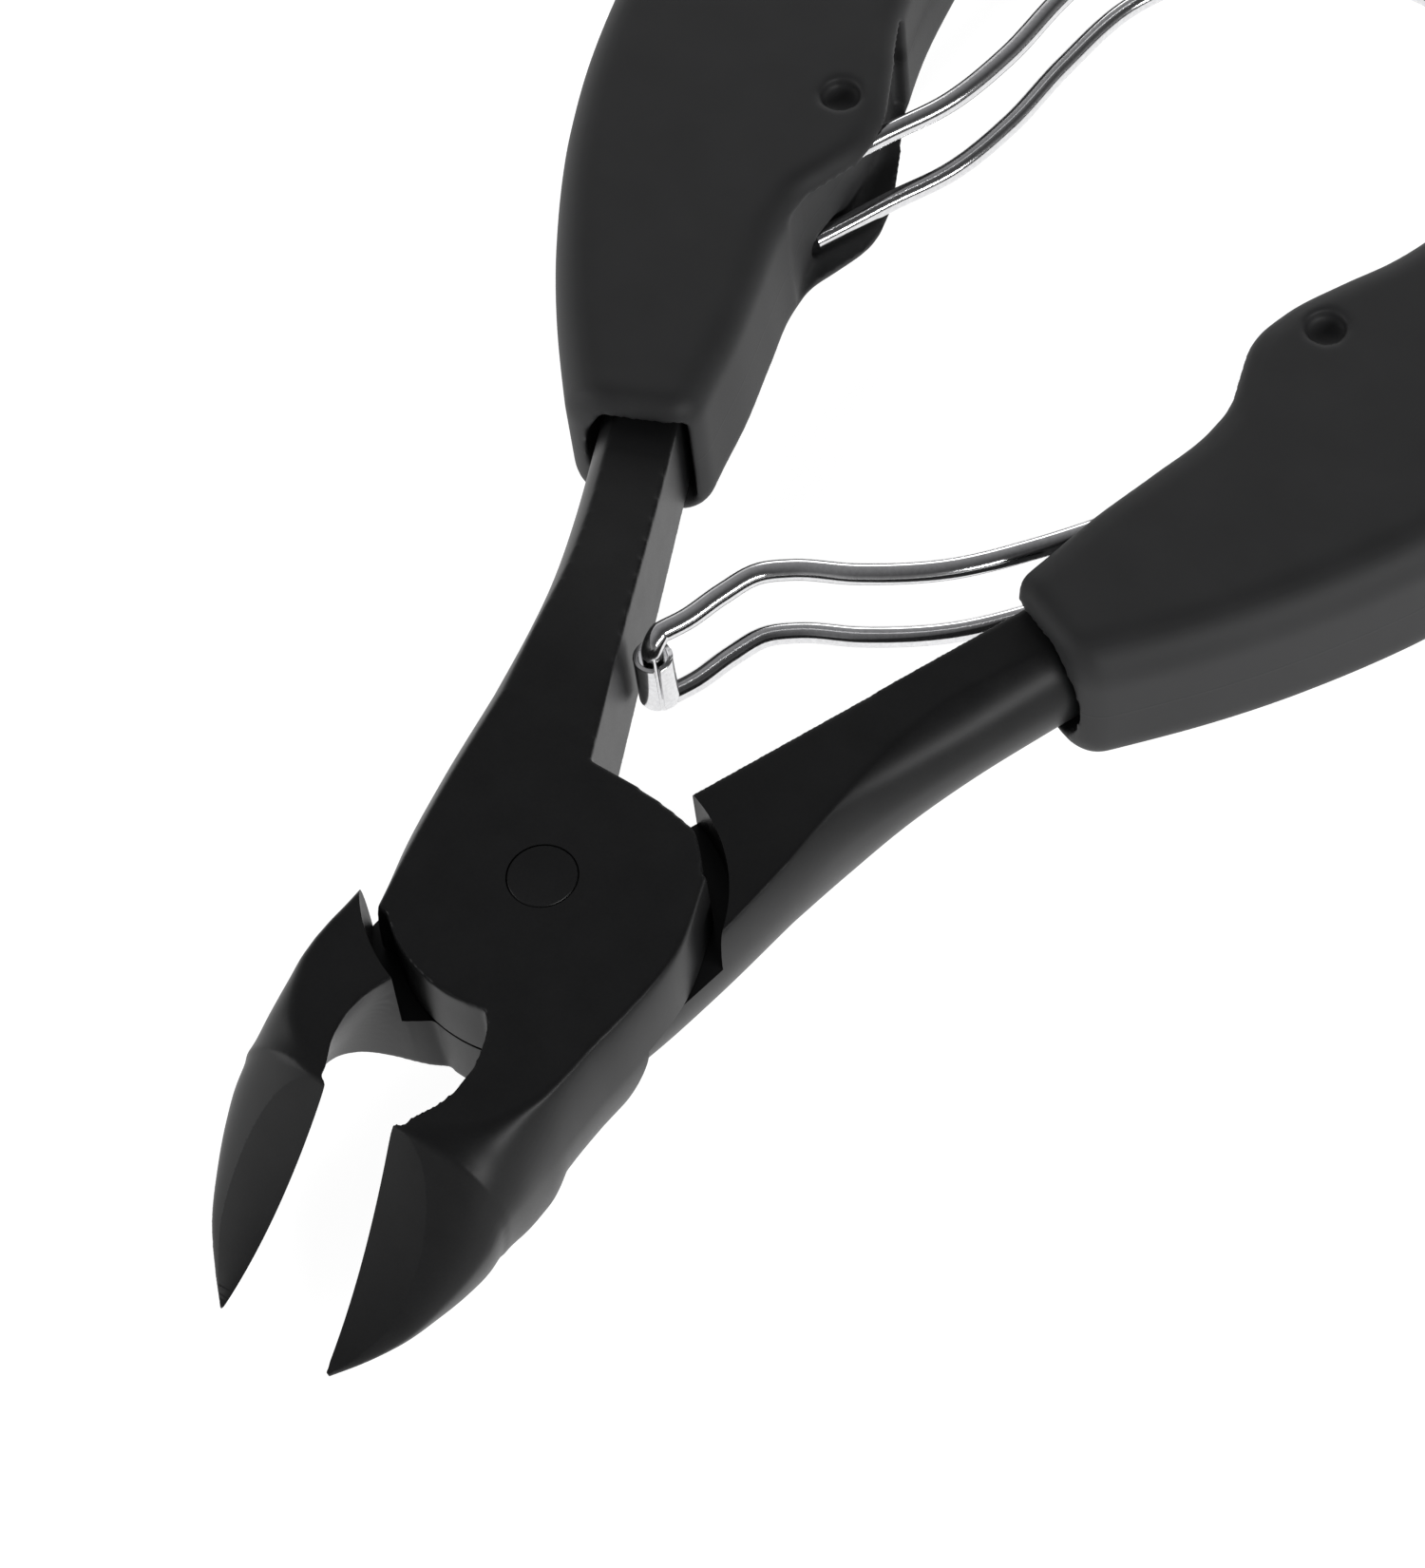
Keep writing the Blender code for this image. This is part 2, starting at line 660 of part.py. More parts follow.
def grip_body(name, mirror, finish, parent):
    places, inners, outers = np.array(GRIP_SIDES).T
    places = np.array([grip_reach(place) for place in places])
    first, last = -NOSE_REACH, GRIP_LENGTH - NOSE_REACH
    stations = [(first + run, inset) for run, inset in rounded_end(NOSE_ROUNDING)]
    begin, finish_at = first + NOSE_ROUNDING, last - END_ROUNDING
    stations += [(at, 0.0) for at in np.linspace(begin, finish_at, 36)[1:-1]]
    stations += [(last - run, inset) for run, inset in reversed(rounded_end(END_ROUNDING))]
    sections = []
    for reach, inset in stations:
        inner = smooth_at(places, inners, reach) * MM
        outer = smooth_at(places, outers, reach) * MM
        sections.append(grip_section(reach, inner, outer, inset, mirror))
    return add_part(name, loft(name, sections), finish, parent)


def pocket_cutters(name, mirror, level, parent):
    """The space that the shank and its tang take in the grip, and the recess round the mouth."""
    end = SHANK_END + GRIP_FIT / (mouth_y() - SHANK_START[1])
    pocket = shank_sections(mirror, level, 0.6, GRIP_FIT, end) + tang_sections(mirror, level, GRIP_FIT)
    recess = shank_sections(mirror, level, 0.6, MOUTH_RECESS, 1.06)
    return [
        add_cutter(f"{name}_pocket", loft(f"{name}_pocket", pocket), parent),
        add_cutter(f"{name}_recess", loft(f"{name}_recess", recess), parent),
    ]


def channel_half():
    return STRAND_SPACING / 2 + WIRE_RADIUS + CHANNEL_GAP


def right_channel():
    """Follows the wire up the right grip, with room for the arm's swing below its bearing."""
    bearing, turn = Vector(ARM_ROUTE[-1]), Matrix.Rotation(ARM_SWING, 2)
    floor = [tuple(bearing + turn @ (Vector(at) - bearing)) for at in ARM_ROUTE[4:]]
    depth = WIRE_RADIUS + CHANNEL_GAP
    outline = [(x * MM + depth, y * MM) for x, y in smooth_route([*floor, *BOW_ROUTE[1:7]], 4.0)]
    outline += [(0.0, outline[-1][1]), (0.0, outline[0][1])]
    return slab("right_channel", outline, channel_half())


# The left grip's shallow channel, as (X, Y) in millimetres from the middle of the mouth.
LEFT_CHANNEL = ((-5.6, 6.0), (-2.4, 11.0), (-0.4, 16.0), (0.3, 21.0), (0.6, 26.0), (1.8, 32.0), (4.2, 38.6))


def left_channel():
    x0, y0 = mouth_centre()
    floor = [(-(x0 + x * MM), y0 + y * MM) for x, y in LEFT_CHANNEL]
    outline = smooth_route(floor, 3.0 * MM)
    outline += [(0.0, outline[-1][1] + 4.0 * MM), (0.0, outline[0][1])]
    return slab("left_channel", outline, channel_half())


def hook_holes(parent):
    """The holes in the left grip that take the bow's two hooked ends."""
    holes = []
    for name, side in (("front", 1), ("back", -1)):
        end = bow_wire(side)
        direction = Vector(end[-1]) - Vector(end[-2])
        route = [Vector(end[-3]), Vector(end[-2]), Vector(end[-1]) + direction.normalized() * 2 * WIRE_GAP]
        mesh = wire(f"hook_hole_{name}", [tuple(point) for point in route], WIRE_RADIUS + WIRE_GAP)
        holes.append(add_cutter(f"hook_hole_{name}", mesh, parent))
    return holes


def locating_hole(name, mirror, parent):
    """Left in the grip's front by the pin that held the tang in the mould."""
    x0, y0 = mouth_centre()
    top = GRIP_THICKNESS / 2
    centre = (mirror * (x0 + 2.0 * MM), y0 + 29.2 * MM)
    mesh = cylinder(
        name, LOCATING_HOLE_RADIUS, top - LOCATING_HOLE_DEPTH, top + CUT_CLEARANCE, centre, sides=24
    )
    return add_cutter(name, mesh, parent)


# ---------------------------------------------------------------- assembly


def build():
    clear_scene()
    collection(PARTS)
    collection(CUTTERS)
    black = material("satin_black_steel", (0.012, 0.012, 0.013), 0.34, 0.85)
    bright = material("polished_wire", (0.72, 0.72, 0.73), 0.16, 1.0)
    rubber = material("grip_rubber", (0.020, 0.020, 0.021), 0.62, 0.0)

    joint = bpy.data.objects.new("joint_middle", None)
    joint.location.z = HEAD_THICKNESS / 2
    bpy.context.scene.collection.objects.link(joint)

    facet = facet_cutter()
    facet.parent = joint
    lever("left_lever", -1, -1, black, joint, facet)
    lever("right_lever", 1, 1, black, joint, facet)
    add_part("pivot_rivet", turned("pivot_rivet", rivet_profile(0.0)), black, joint)

    for name, mirror, level, channel in (
        ("left_grip", -1, -1, left_channel()),
        ("right_grip", 1, 1, right_channel()),
    ):
        grip = grip_body(name, mirror, rubber, joint)
        boolean(grip, "DIFFERENCE", *pocket_cutters(name, mirror, level, joint))
        boolean(grip, "DIFFERENCE", add_cutter(f"{name}_channel", channel, joint))
        boolean(grip, "DIFFERENCE", locating_hole(f"{name}_hole", mirror, joint))
    boolean(bpy.data.objects["left_grip"], "DIFFERENCE", *hook_holes(joint))

    axle = bpy.data.objects.new("roller_axis", None)
    axle.location = (*roller_centre(), 0.0)
    axle.parent = joint
    bpy.context.scene.collection.objects.link(axle)
    add_part("spring_roller", roller_sleeve(), bright, axle)
    add_part("spring_arm", wire("spring_arm", arm_wire(), WIRE_RADIUS), bright, joint)
    for name, side in (("spring_bow_front", 1), ("spring_bow_back", -1)):
        add_part(name, wire(name, bow_wire(side), WIRE_RADIUS), bright, joint)


build()
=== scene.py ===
import math

import bmesh
import bpy
import numpy as np
from mathutils import Matrix, Quaternion, Vector


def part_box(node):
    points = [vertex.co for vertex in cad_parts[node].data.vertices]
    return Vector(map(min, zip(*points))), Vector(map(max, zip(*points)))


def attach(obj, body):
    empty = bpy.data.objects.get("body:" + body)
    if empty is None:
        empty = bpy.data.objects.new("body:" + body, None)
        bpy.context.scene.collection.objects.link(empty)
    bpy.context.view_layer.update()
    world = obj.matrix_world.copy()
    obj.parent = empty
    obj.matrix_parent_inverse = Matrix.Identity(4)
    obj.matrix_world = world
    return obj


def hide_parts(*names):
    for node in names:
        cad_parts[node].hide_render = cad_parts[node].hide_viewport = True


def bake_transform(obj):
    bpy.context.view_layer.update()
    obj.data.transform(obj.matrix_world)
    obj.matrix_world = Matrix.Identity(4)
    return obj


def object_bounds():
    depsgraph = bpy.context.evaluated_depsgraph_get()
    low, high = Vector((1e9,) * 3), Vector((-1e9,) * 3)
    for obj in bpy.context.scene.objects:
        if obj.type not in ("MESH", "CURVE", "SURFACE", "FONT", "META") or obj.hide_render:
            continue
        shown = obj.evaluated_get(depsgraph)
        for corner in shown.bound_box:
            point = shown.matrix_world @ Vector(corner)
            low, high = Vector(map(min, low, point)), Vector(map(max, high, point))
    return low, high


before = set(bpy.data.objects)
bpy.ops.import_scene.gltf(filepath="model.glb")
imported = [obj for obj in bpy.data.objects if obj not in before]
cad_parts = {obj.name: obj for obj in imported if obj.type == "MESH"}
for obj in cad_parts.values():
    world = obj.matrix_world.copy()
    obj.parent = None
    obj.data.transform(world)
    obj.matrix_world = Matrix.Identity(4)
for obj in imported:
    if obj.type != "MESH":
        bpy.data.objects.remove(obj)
cad_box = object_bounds()

# ---------------------------------------------------------------- studio
# The camera looks down from beyond the jaws and from the right. Soft lights stand on the right,
# beyond the handles and left of the jaws. The room is bright low on the left, and dim overhead
# and on the right, so that the flat tops stay dark.

MM = 0.001
CAMERA_TARGET = Vector((2.95, 15.21, 6.3)) * MM
CAMERA_DISTANCE = 334.28 * MM
CAMERA_AZIMUTH = math.radians(42.38)
CAMERA_ELEVATION = math.radians(57.49)
CAMERA_ROLL = math.radians(8.77)
LENS = 109.09
TABLE_DROP = 1.0 * MM
TABLE_HALF = 6.0
TABLE_BASE = (0.30, 0.30, 0.30, 1.0)
TABLE_GLOW = 0.95
ROOM_HORIZON = (1.0, 1.0, 1.0, 1.0)
ROOM_ZENITH = (0.26, 0.26, 0.265, 1.0)
ROOM_LEFT = (1.0, 1.0, 1.0, 1.0)
ROOM_RIGHT = (0.22, 0.22, 0.22, 1.0)
ROOM_STRENGTH = 1.0


def add_soft_light(name, place, target, size, power):
    light = bpy.data.lights.new(name, "AREA")
    light.shape = "RECTANGLE"
    light.size, light.size_y = size
    light.energy = power
    lamp = bpy.data.objects.new(name, light)
    lamp.location = place
    lamp.rotation_euler = (Vector(target) - Vector(place)).to_track_quat("-Z", "Y").to_euler()
    bpy.context.scene.collection.objects.link(lamp)


camera = bpy.data.objects.new("camera", bpy.data.cameras.new("camera"))
back = Vector(
    (
        math.sin(CAMERA_AZIMUTH) * math.cos(CAMERA_ELEVATION),
        -math.cos(CAMERA_AZIMUTH) * math.cos(CAMERA_ELEVATION),
        math.sin(CAMERA_ELEVATION),
    )
)
camera.rotation_mode = "QUATERNION"
camera.rotation_quaternion = (-back).to_track_quat("-Z", "Y") @ Quaternion((0, 0, 1), -CAMERA_ROLL)
camera.location = CAMERA_TARGET + back * CAMERA_DISTANCE
camera.data.lens = LENS
camera.data.clip_start = 0.01
bpy.context.scene.collection.objects.link(camera)
bpy.context.scene.camera = camera
bpy.context.scene.view_settings.view_transform = "Standard"

add_soft_light("side_light", (0.55, -0.10, 0.25), (0, 0.02, 0), (0.5, 0.08), 2.5)
add_soft_light("far_light", (-0.30, 0.75, 0.30), (0, 0.03, 0), (0.6, 0.3), 1.5)
add_soft_light("near_light", (-0.55, -0.35, 0.20), (0, 0, 0), (0.3, 0.3), 1.0)

room = bpy.data.worlds.new("room")
room.use_nodes = True
bpy.context.scene.world = room

# ---------------------------------------------------------------- levers
# Two mirrored drop forgings in tool steel, milled flat at the lap joint and ground at the jaws,
# then blackened. The left one's joint plate is in front and carries the right jaw.

HEAD_LOW, HEAD_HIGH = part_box("pivot_rivet")
HEAD_HALF = (HEAD_HIGH.z - HEAD_LOW.z) / 2
MIDDLE = Matrix.Translation((0, 0, HEAD_LOW.z + HEAD_HALF))
PLATE_RADIUS = 10.9 * MM
WEB_HEIGHT = 9.4 * MM
WEB_FALL = 18.0
SHOULDER_GAP = 1.7 * MM
LAP_GAP = 0.3 * MM
HALF_OPEN = math.radians(7.25)
JAW_REACH = 33.8 * MM
HEEL_REACH = 20.8 * MM
EDGE_GAP = 0.3 * MM
JAW_RELIEF = 0.40
TIP_DROP = 1.5 * MM
BACK_TUCK = 1.8 * MM
SHANK_LEAN = math.radians(24.0)
SHANK_START = (3.4 * MM, 11.0 * MM)
SHANK_RISE = 30.0 * MM * math.cos(SHANK_LEAN)
SHOULDER_HALF = 3.8 * MM
MOUTH_HALF = 4.1 * MM
BULGE = math.radians(60)
SHANK_END = 1.13
RIVET_HEAD_RADIUS = 2.5 * MM
RIVET_GAP = 0.04 * MM
FORGING_GRAIN = 0.18 * MM
FORGING_PASSES = 9
STEEL_COAT_IOR = 1.27

# Place along the shank: taper, then the shoulder side's corner, the plate side's corner and the
# widest part, in millimetres from the inner face.
SHANK_STATIONS = (
    (0.00, 0.00, 9.2, 7.9, 9.9),
    (0.22, 0.08, 6.7, 6.7, 8.2),
    (0.42, 0.32, 4.8, 5.6, 7.5),
    (0.60, 0.58, 3.8, 5.2, 7.2),
    (0.80, 0.82, 3.9, 5.2, 7.1),
    (1.00, 1.00, 4.1, 5.2, 7.1),
    (1.20, 1.00, 4.1, 5.2, 7.1),
)
# Y through the head, then the same three places in millimetres outside the plate's edge.
HEAD_SIDE_STATIONS = (
    (-8.0, -2.3, -2.75, -2.1),
    (-3.0, -0.3, -1.75, -0.1),
    (3.0, 0.9, -0.7, 1.2),
    (11.0, 1.7, 0.4, 2.4),
)
# Y below the pivot: inner wall front and back, front ridge, widest part, roundness.
JAW_ROOT_STATIONS = (
    (6.0, -1.5, -1.5, 8.4, 8.6, 4.0),
    (0.0, -1.5, -1.5, 9.5, 9.8, 3.0),
    (-6.0, -1.5, -1.5, 9.8, 10.5, 2.5),
    (-9.4, 1.0, 0.6, 10.0, 10.8, 2.2),
    (-10.4, 2.7, 1.6, 10.1, 10.9, 2.2),
    (-11.45, 3.72, 3.45, 10.1, 11.0, 2.2),
    (-12.1, 4.05, 5.6, 10.1, 11.05, 2.2),
    (-12.7, 4.25, 7.2, 10.0, 11.1, 2.2),
    (-13.8, 4.6, 8.8, 9.8, 11.15, 2.2),
    (-15.0, 4.8, 9.5, 9.3, 11.2, 2.1),
    (-16.6, 4.75, 9.5, 8.4, 11.2, 2.1),
    (-18.1, 4.4, 9.2, 7.1, 11.2, 2.05),
    (-19.3, 3.8, 8.7, 5.4, 11.15, 2.0),
)
# Y below the pivot: how much fuller the front plate runs out into its jaw.
FRONT_SWELL = ((6.0, 1.0), (0.0, 1.7), (-6.0, 1.1), (-9.4, 0.5), (-12.1, 0.15), (-15.0, 0.0), (-19.3, 0.0))
# Share of the cutting edge: widest part from the edge, crest above the facet, roundness.
HORN_STATIONS = (
    (0.00, 8.20, 0.00, 2.00),
    (0.10, 8.05, 0.60, 1.85),
    (0.25, 7.40, 1.20, 1.70),
    (0.45, 6.15, 1.50, 1.58),
    (0.68, 4.30, 1.20, 1.50),
    (0.86, 2.15, 0.60, 1.55),
    (1.00, 0.20, 0.10, 2.00),
)


def smooth_at(places, values, at):
    """The value at a place on a smooth curve through the given ones."""
    slopes = np.gradient(values, places)
    left = int(np.clip(np.searchsorted(places, at) - 1, 0, len(places) - 2))
    step = places[left + 1] - places[left]
    t = (at - places[left]) / step
    rise = values[left + 1] - values[left]
    start = step * slopes[left] - rise
    end = rise - step * slopes[left + 1]
    return values[left] + t * rise + t * (1 - t) * ((1 - t) * start + t * end)


def add_piece(name, bm):
    """A finished mesh as an object at the origin, with its faces pointing out."""
    bmesh.ops.remove_doubles(bm, verts=bm.verts, dist=1e-7)
    bmesh.ops.recalc_face_normals(bm, faces=bm.faces)
    mesh = bpy.data.meshes.new(name)
    bm.to_mesh(mesh)
    bm.free()
    piece = bpy.data.objects.new(name, mesh)
    bpy.context.scene.collection.objects.link(piece)
    return piece


def loft(name, sections):
    """A closed body through sections: a grid rolled up on them, its ends filled."""
    count = len(sections[0])
    bm = bmesh.new()
    bmesh.ops.create_grid(bm, x_segments=count, y_segments=len(sections) - 1, size=1)
    bm.verts.ensure_lookup_table()
    for row, section in enumerate(sections):
        for column in range(count + 1):
            bm.verts[row * (count + 1) + column].co = section[column % count]
    bmesh.ops.remove_doubles(bm, verts=bm.verts, dist=1e-8)
    rims = [edge for edge in bm.edges if edge.is_boundary]
    bmesh.ops.holes_fill(bm, edges=rims)
    bmesh.ops.triangulate(bm, faces=bm.faces)
    return add_piece(name, bm)


def drum(name, radius, low, high, sides=160):
    bm = bmesh.new()
    bmesh.ops.create_cone(
        bm,
        cap_ends=True,
        segments=sides,
        radius1=radius,
        radius2=radius,
        depth=high - low,
        matrix=Matrix.Translation((0, 0, (low + high) / 2)),
    )
    return add_piece(name, bm)


def prism(name, outline, low, high):
    """A flat outline pushed up from low to high."""
    bm = bmesh.new()
    rim = [bm.verts.new((x, y, low)) for x, y in outline]
    edges = [bm.edges.new((rim[i - 1], rim[i])) for i in range(len(rim))]
    base = bmesh.ops.contextual_create(bm, geom=edges)["faces"]
    top = bmesh.ops.extrude_face_region(bm, geom=base)
    lifted = [item for item in top["geom"] if isinstance(item, bmesh.types.BMVert)]
    bmesh.ops.translate(bm, verts=lifted, vec=(0, 0, high - low))
    if not [face for face in bm.faces if face.calc_center_median().z < low + 1e-7]:
        bmesh.ops.holes_fill(bm, edges=[edge for edge in bm.edges if edge.is_boundary])
    bmesh.ops.triangulate(bm, faces=bm.faces)
    return add_piece(name, bm)


def combine(piece, operation, *others):
    for other in others:
        modifier = piece.modifiers.new(operation.lower(), "BOOLEAN")
        modifier.operation = operation
        modifier.solver = "MANIFOLD"
        modifier.object = other


def settle(piece, *spent):
    """Applies the modifiers and removes the tools that they used."""
    graph = bpy.context.evaluated_depsgraph_get()
    mesh = bpy.data.meshes.new_from_object(piece.evaluated_get(graph))
    piece.modifiers.clear()
    piece.data = mesh
    mesh.name = piece.name
    for tool in spent:
        bpy.data.objects.remove(tool, do_unlink=True)


def soften(piece, grain, passes, weight=None):
    """Rounds every edge as forging and tumbling do. weight(points) is how much each point takes part."""
    remesh = piece.modifiers.new("grain", "REMESH")
    remesh.mode = "VOXEL"
    remesh.voxel_size = grain
    settle(piece)
    smooth = piece.modifiers.new("soften", "SMOOTH")
    smooth.factor = 0.5
    smooth.iterations = passes
    if weight is not None:
        points = np.empty(len(piece.data.vertices) * 3)
        piece.data.vertices.foreach_get("co", points)
        shares = np.clip(weight(points.reshape(-1, 3)), 0, 1)
        group = piece.vertex_groups.new(name="soft")
        for level in range(11):
            chosen = np.nonzero(np.round(shares * 10) == level)[0]
            if len(chosen):
                group.add([int(i) for i in chosen], level / 10, "REPLACE")
        smooth.vertex_group = "soft"
    settle(piece)
    piece.vertex_groups.clear()


def finish_piece(piece, finish, angle=38):
    piece.data.materials.clear()
    piece.data.materials.append(finish)
    piece.data.shade_smooth()
    piece.data.set_sharp_from_angle(angle=math.radians(angle))


def shank_inner(y):
    return SHANK_START[0] + (y - SHANK_START[1]) * math.tan(SHANK_LEAN)


def shank_section(y, widths, halves, mirror, level, grow=0.0, inner=None):
    """One section across the shank: flat inner face, rounded outer side."""
    shoulder, plate, widest = widths
    inner = shank_inner(y) if inner is None else inner
    high, low = (half + grow for half in halves)
    points = [(inner - grow, -low), (inner - grow, high)]
    for step in range(33):
        angle = BULGE * (1 - step / 16)
        corner, half = (shoulder, high) if step <= 16 else (plate, low)
        share = (math.cos(angle) - math.cos(BULGE)) / (1 - math.cos(BULGE))
        points.append((corner + (widest - corner) * share + grow, half * math.sin(angle) / math.sin(BULGE)))
    return [(mirror * x, y, level * z) for x, z in points]


def shank_sections(mirror, level, start=-1.0, grow=0.0, end=SHANK_END):
    sections = []
    if start < 0:
        heights, *columns = np.array(HEAD_SIDE_STATIONS).T
        for y in np.linspace(-8.0, 9.5, 24):
            widths = [PLATE_RADIUS + smooth_at(heights, column, y) * MM for column in columns]
            inner = max(-0.7 * MM, shank_inner(y * MM))
            halves = (SHOULDER_HALF, HEAD_HALF)
            sections.append(shank_section(y * MM, widths, halves, mirror, level, 0.0, inner))
    places, tapers, *columns = np.array(SHANK_STATIONS).T
    for place in np.linspace(max(start, 0.0), end, 60):
        y = SHANK_START[1] + place * SHANK_RISE
        taper = min(smooth_at(places, tapers, place), 1.0)
        low = HEAD_HALF + (MOUTH_HALF - HEAD_HALF) * taper
        high = SHOULDER_HALF + (MOUTH_HALF - SHOULDER_HALF) * min(place, 1.0)
        widths = [shank_inner(y) + smooth_at(places, column, place) * MM for column in columns]
        sections.append(shank_section(y, widths, (high, low), mirror, level, grow))
    return sections


def edge_x(y):
    return EDGE_GAP / 2 / math.cos(HALF_OPEN) - y * math.tan(HALF_OPEN)


def facet_height(y):
    share = (-HEEL_REACH - y) / (JAW_REACH - HEEL_REACH)
    drop = 2 * HEAD_HALF + TIP_DROP - 0.4 * MM
    return HEAD_HALF - drop * (1.5 * share - 0.5 * share * share)


def back_height(y):
    share = min(max((y + PLATE_RADIUS) / (PLATE_RADIUS - JAW_REACH), 0.0), 1.0)
    return -HEAD_HALF - TIP_DROP * share * share * (3 - 2 * share)


def jaw_section(y, wall, side, heights, roundness, mirror):
    inner_front, inner_back = wall
    ridge, widest = side
    top, waist, bottom = heights
    tucked = max(widest - BACK_TUCK, inner_back + 0.35 * (widest - inner_back))
    points = [(inner_back, bottom), (inner_front, top)]
    for step in range(25):
        angle = math.pi / 2 * (1 - step / 24)
        x = ridge + (widest - ridge) * math.cos(angle) ** (2 / roundness)
        points.append((x, waist + (top - waist) * math.sin(angle) ** (2 / roundness)))
    for step in range(1, 17):
        angle = math.pi / 2 * step / 16
        x = tucked + (widest - tucked) * math.cos(angle) ** 1.3
        points.append((x, waist - (waist - bottom) * math.sin(angle) ** 1.3))
    return [(-mirror * x, y, z) for x, z in points]


def jaw_sections(mirror):
    heights, *columns = np.array(JAW_ROOT_STATIONS[::-1]).T
    sections = []
    for y in np.concatenate([np.linspace(6.0, -9.0, 20), np.linspace(-9.4, -20.4, 56)]):
        inner, inner_back, ridge, widest, roundness = (smooth_at(heights, column, y) for column in columns)
        swell = smooth_at(*np.array(FRONT_SWELL[::-1]).T, y) if mirror < 0 else 0.0
        ridge, widest = ridge + swell, widest + swell
        inner_back = min(inner_back, widest - 0.8)
        levels = (HEAD_HALF, 0.0, back_height(y * MM))
        wall, side = (inner * MM, inner_back * MM), (ridge * MM, widest * MM)
        sections.append(jaw_section(y * MM, wall, side, levels, roundness, mirror))
    places, spans, crests, rounds = np.array(HORN_STATIONS).T
    for place in np.linspace(0.0, 1.0, 64):
        y = -HEEL_REACH - place * (JAW_REACH - HEEL_REACH)
        facet, bottom = facet_height(y), back_height(y)
        crest = max(facet + smooth_at(places, crests, place) * MM, bottom + 0.2 * MM)
        front = edge_x(y) - JAW_RELIEF * (crest - facet)
        inner_back = edge_x(y) + JAW_RELIEF * (facet - bottom)
        widest = max(edge_x(y) + smooth_at(places, spans, place) * MM, inner_back + 0.1 * MM)
        side, levels = (front + 0.08 * MM, widest), (crest, (crest + bottom) / 2, bottom)
        roundness = smooth_at(places, rounds, place)
        sections.append(jaw_section(y, (front, inner_back), side, levels, roundness, mirror))
    return sections


def plate_outline(mirror):
    """A disc drawn in at the lever's outer side and at the web between the shanks."""
    heights, _, corners, _ = np.array(HEAD_SIDE_STATIONS).T
    points = []
    for step in range(240):
        angle = math.pi * step / 120
        x, y = PLATE_RADIUS * math.cos(angle), PLATE_RADIUS * math.sin(angle)
        if x > 0:
            x = min(x, PLATE_RADIUS + float(np.interp(y / MM, heights, corners)) * MM - 0.1 * MM)
        points.append((mirror * x, min(y, WEB_HEIGHT - WEB_FALL * min(x, 0.0) ** 2)))
    return points


def grinding_wheel(name):
    """What grinding takes off both jaws' fronts, as a wall of stock above the facet."""
    reach = JAW_REACH - HEEL_REACH
    outline = []
    for share in np.linspace(-0.02, 1.06, 60):
        y = -HEEL_REACH - share * reach
        outline.append((y, facet_height(y)))
    outline += [(outline[-1][0], HEAD_HALF + 3 * MM), (outline[0][0], HEAD_HALF + 3 * MM)]
    wheel = prism(name, outline, -16 * MM, 16 * MM)
    wheel.data.transform(Matrix(((0, 0, 1, 0), (1, 0, 0, 0), (0, 1, 0, 0), (0, 0, 0, 1))))
    return wheel


def forging_softness(points):
    """Full rounding on the forged body, falling to about a third of it along the jaws."""
    y = points[:, 1]
    return np.clip((y + 21 * MM) / (5 * MM), 0.35, 1.0)


def forge_lever(name, mirror, level):
    body = loft(name, shank_sections(mirror, level))
    jaw = loft(f"{name}_jaw", jaw_sections(mirror))
    low, high = sorted((-level * HEAD_HALF, level * LAP_GAP))
    plate = prism(f"{name}_plate", plate_outline(mirror), low, high)
    combine(body, "UNION", jaw, plate)
    settle(body, jaw, plate)
    soften(body, FORGING_GRAIN, FORGING_PASSES, forging_softness)
    low, high = sorted((level * (HEAD_HALF + 2 * MM), -level * LAP_GAP / 2))
    lap = drum(f"{name}_lap", PLATE_RADIUS + SHOULDER_GAP, low, high)
    hole = drum(f"{name}_hole", RIVET_HEAD_RADIUS + RIVET_GAP, -HEAD_HALF * 1.5, HEAD_HALF * 1.5, 96)
    wheel = grinding_wheel(f"{name}_wheel")
    combine(body, "DIFFERENCE", lap, hole, wheel)
    settle(body, lap, hole, wheel)
    body.data.transform(MIDDLE)
    return body


class Signal:
    """A socket of a material's nodes. Arithmetic on it adds Math nodes."""

    def __init__(self, tree, socket=None):
        self.tree, self.socket = tree, socket

    def node(self, kind, settings, inputs, output=0):
        made = self.tree.nodes.new("ShaderNode" + kind)
        stops = settings.pop("stops", None)
        for name, value in settings.items():
            setattr(made, name, value)
        if stops:
            ramp = made.color_ramp.elements
            while len(ramp) < len(stops):
                ramp.new(0.5)
            for element, (place, color) in zip(ramp, stops):
                element.position = place
                element.color = color
        for name, value in inputs.items():
            if isinstance(value, Signal):
                self.tree.links.new(value.socket, made.inputs[name])
            else:
                made.inputs[name].default_value = value
        return Signal(self.tree, made.outputs[output])

    def math(self, operation, first, second=0.0):
        return self.node("Math", {"operation": operation}, {0: first, 1: second})

    def __add__(self, other):
        return self.math("ADD", self, other)

    def __mul__(self, other):
        return self.math("MULTIPLY", self, other)

    def __sub__(self, other):
        return self.math("SUBTRACT", self, other)

    def __rsub__(self, other):
        return self.math("SUBTRACT", other, self)

    __radd__ = __add__
    __rmul__ = __mul__


def start_finish(name):
    """A new material, its shader and the object's place in millimetres."""
    made = bpy.data.materials.new(name)
    made.use_nodes = True
    shader = made.node_tree.nodes["Principled BSDF"]
    base = Signal(made.node_tree)
    place = base.node("TexCoord", {}, {}, "Object")
    place = base.node("VectorMath", {"operation": "SCALE"}, {0: place, "Scale": 1 / MM})
    return made, shader, place


def noise(place, scale, detail=2.0, rough=0.5):
    inputs = {"Vector": place, "Scale": scale, "Detail": detail, "Roughness": rough}
    return place.node("TexNoise", {}, inputs)


def feed(shader, name, value):
    shader.id_data.links.new(value.socket, shader.inputs[name])


